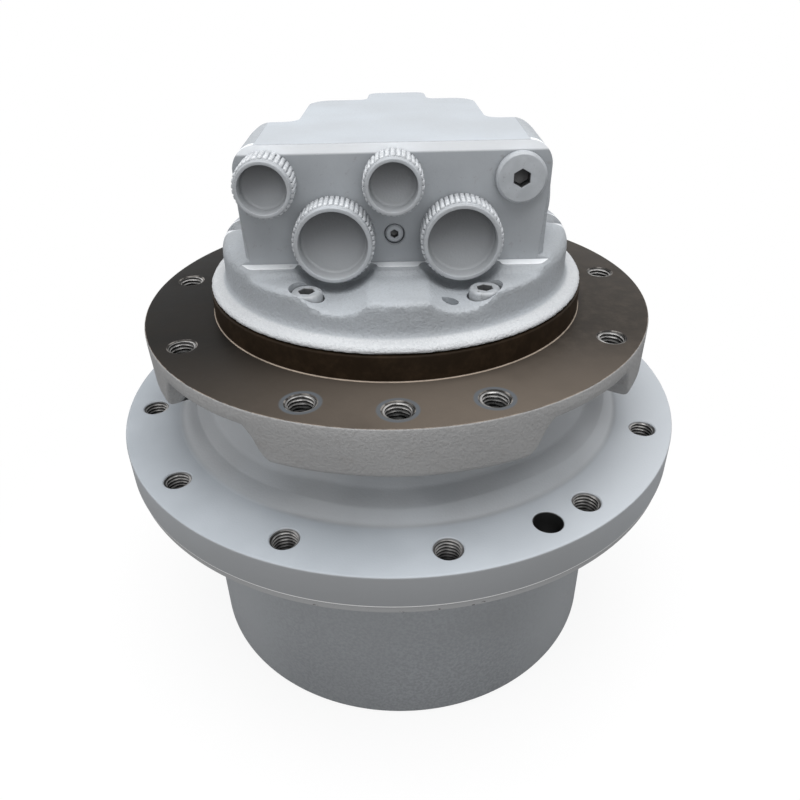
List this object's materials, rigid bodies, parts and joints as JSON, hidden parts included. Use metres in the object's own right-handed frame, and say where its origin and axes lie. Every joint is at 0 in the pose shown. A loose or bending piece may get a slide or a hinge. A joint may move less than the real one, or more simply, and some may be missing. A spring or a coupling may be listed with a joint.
{
  "type": "excavator final drive",
  "caption": "Track drive with a rotating sprocket hub, a bolted frame flange, an axial piston motor behind the end cover and a valve block with capped ports.",
  "frame": {"origin": "centre of the drum rim, the face that the unit stands on", "axes": "+Z along the shaft towards the valve block, -Y the way the ports look, +X to the right when facing the ports"},
  "size_m": [0.286, 0.286, 0.2732],
  "materials": {
    "hub_iron": "bare blue-grey cast iron, machined flange",
    "phosphated_iron": "dark phosphated, brown-black",
    "cover_casting": "light blasted casting with machined faces",
    "bright_steel": "ground",
    "dark_steel": "black oxide",
    "zinc_plate": "zinc plated",
    "bronze": "bronze",
    "black_rubber": "matte",
    "grey_plastic": "moulded, satin",
    "brake_lining": "sintered"
  },
  "bodies": {
    "frame_side": {"spindle": "phosphated_iron", "end_cover": "cover_casting", "end_cover_bolt_1": "dark_steel", "end_cover_bolt_2": "dark_steel", "end_cover_bolt_3": "dark_steel", "end_cover_bolt_4": "dark_steel", "end_cover_bolt_5": "dark_steel", "end_cover_bolt_6": "dark_steel", "drain_hex_plug": "zinc_plate", "centre_orifice_plug": "zinc_plate", "bearing_cone_low": "bright_steel", "bearing_cone_high": "bright_steel", "bearing_lock_nut": "dark_steel", "floating_seal_frame": "bright_steel", "carrier_2": "bright_steel", "shaft_seal": "black_rubber", "front_bearing": "bright_steel", "rear_bearing": "bright_steel", "swash_plate": "bright_steel", "valve_plate": "bronze", "brake_separator_plate_1": "bright_steel", "brake_separator_plate_2": "bright_steel", "brake_disc_spring": "dark_steel", "counterbalance_spring_left": "bright_steel", "counterbalance_spring_right": "bright_steel", "counterbalance_plug": "zinc_plate", "two_speed_plug": "zinc_plate", "relief_valve_a": "zinc_plate", "relief_valve_b": "zinc_plate"},
    "hub_side": {"hub": "hub_iron", "ring_gear": "bright_steel", "gearbox_cover": "hub_iron", "cover_o_ring": "black_rubber", "cover_snap_ring": "dark_steel", "fill_plug": "dark_steel", "level_plug": "dark_steel", "bearing_cup_low": "bright_steel", "bearing_cup_high": "bright_steel", "floating_seal_hub": "bright_steel"},
    "motor_rotor": {"drive_shaft": "bright_steel", "sun_1": "bright_steel", "cylinder_block": "bright_steel", "piston_and_slipper_set": "bright_steel", "ball_guide": "dark_steel", "brake_friction_plate": "brake_lining"},
    "stage_1_carrier": {"carrier_1": "bright_steel", "sun_2": "bright_steel"},
    "brake_piston_body": {"brake_piston": "bright_steel"},
    "counterbalance_spool_body": {"counterbalance_spool": "bright_steel"},
    "two_speed_spool_body": {"two_speed_spool": "bright_steel"},
    "port_cap_a_body": {"port_cap_a": "grey_plastic"},
    "port_cap_b_body": {"port_cap_b": "grey_plastic"},
    "pilot_cap_body": {"pilot_port_cap": "grey_plastic"},
    "drain_cap_body": {"drain_port_cap": "grey_plastic"},
    "planet_1_a_body": {"planet_1_a": "bright_steel"},
    "planet_1_b_body": {"planet_1_b": "bright_steel"},
    "planet_1_c_body": {"planet_1_c": "bright_steel"},
    "planet_2_a_body": {"planet_2_a": "bright_steel"},
    "planet_2_b_body": {"planet_2_b": "bright_steel"},
    "planet_2_c_body": {"planet_2_c": "bright_steel"}
  },
  "joints": [
    {"name": "hub_spin", "type": "hinge", "parent": "frame_side", "child": "hub_side", "pos_m": [0, 0, 0.1], "axis": [0, 0, 1], "continuous": true},
    {"name": "motor_spin", "type": "hinge", "parent": "frame_side", "child": "motor_rotor", "pos_m": [0, 0, 0.15], "axis": [0, 0, 1], "continuous": true},
    {"name": "stage_1_carrier_spin", "type": "hinge", "parent": "frame_side", "child": "stage_1_carrier", "pos_m": [0, 0, 0.049], "axis": [0, 0, 1], "continuous": true},
    {"name": "planet_1_a_spin", "type": "hinge", "parent": "stage_1_carrier", "child": "planet_1_a_body", "pos_m": [0.054, 0, 0.034], "axis": [0, 0, 1], "continuous": true},
    {"name": "planet_1_b_spin", "type": "hinge", "parent": "stage_1_carrier", "child": "planet_1_b_body", "pos_m": [-0.027, 0.04677, 0.034], "axis": [0, 0, 1], "continuous": true},
    {"name": "planet_1_c_spin", "type": "hinge", "parent": "stage_1_carrier", "child": "planet_1_c_body", "pos_m": [-0.027, -0.04677, 0.034], "axis": [0, 0, 1], "continuous": true},
    {"name": "planet_2_a_spin", "type": "hinge", "parent": "frame_side", "child": "planet_2_a_body", "pos_m": [0.0585, 0, 0.069], "axis": [0, 0, 1], "continuous": true},
    {"name": "planet_2_b_spin", "type": "hinge", "parent": "frame_side", "child": "planet_2_b_body", "pos_m": [-0.02925, 0.05066, 0.069], "axis": [0, 0, 1], "continuous": true},
    {"name": "planet_2_c_spin", "type": "hinge", "parent": "frame_side", "child": "planet_2_c_body", "pos_m": [-0.02925, -0.05066, 0.069], "axis": [0, 0, 1], "continuous": true},
    {"name": "brake_piston_slide", "type": "slide", "parent": "frame_side", "child": "brake_piston_body", "axis": [0, 0, 1], "range_m": [0, 0.0015], "stiffness_N_per_m": 20000, "springref_m": -0.003},
    {"name": "counterbalance_spool_slide", "type": "slide", "parent": "frame_side", "child": "counterbalance_spool_body", "axis": [1, 0, 0], "range_m": [-0.006, 0.006], "stiffness_N_per_m": 4000},
    {"name": "two_speed_spool_slide", "type": "slide", "parent": "frame_side", "child": "two_speed_spool_body", "axis": [1, 0, 0], "range_m": [0, 0.005], "stiffness_N_per_m": 2000, "springref_m": -0.002},
    {"name": "port_cap_a_pull", "type": "slide", "parent": "frame_side", "child": "port_cap_a_body", "axis": [0, -1, 0], "range_m": [0, 0.03]},
    {"name": "port_cap_b_pull", "type": "slide", "parent": "frame_side", "child": "port_cap_b_body", "axis": [0, -1, 0], "range_m": [0, 0.03]},
    {"name": "pilot_cap_pull", "type": "slide", "parent": "frame_side", "child": "pilot_cap_body", "axis": [0, -1, 0], "range_m": [0, 0.03]},
    {"name": "drain_cap_pull", "type": "slide", "parent": "frame_side", "child": "drain_cap_body", "axis": [0, -1, 0], "range_m": [0, 0.03]}
  ],
  "couplings": [
    {"joint": "motor_spin", "follows": "hub_spin", "ratio": -25},
    {"joint": "stage_1_carrier_spin", "follows": "hub_spin", "ratio": -3.3333},
    {"joint": "planet_1_a_spin", "follows": "hub_spin", "ratio": 10.833},
    {"joint": "planet_1_b_spin", "follows": "hub_spin", "ratio": 10.833},
    {"joint": "planet_1_c_spin", "follows": "hub_spin", "ratio": 10.833},
    {"joint": "planet_2_a_spin", "follows": "hub_spin", "ratio": 2.8571},
    {"joint": "planet_2_b_spin", "follows": "hub_spin", "ratio": 2.8571},
    {"joint": "planet_2_c_spin", "follows": "hub_spin", "ratio": 2.8571}
  ]
}
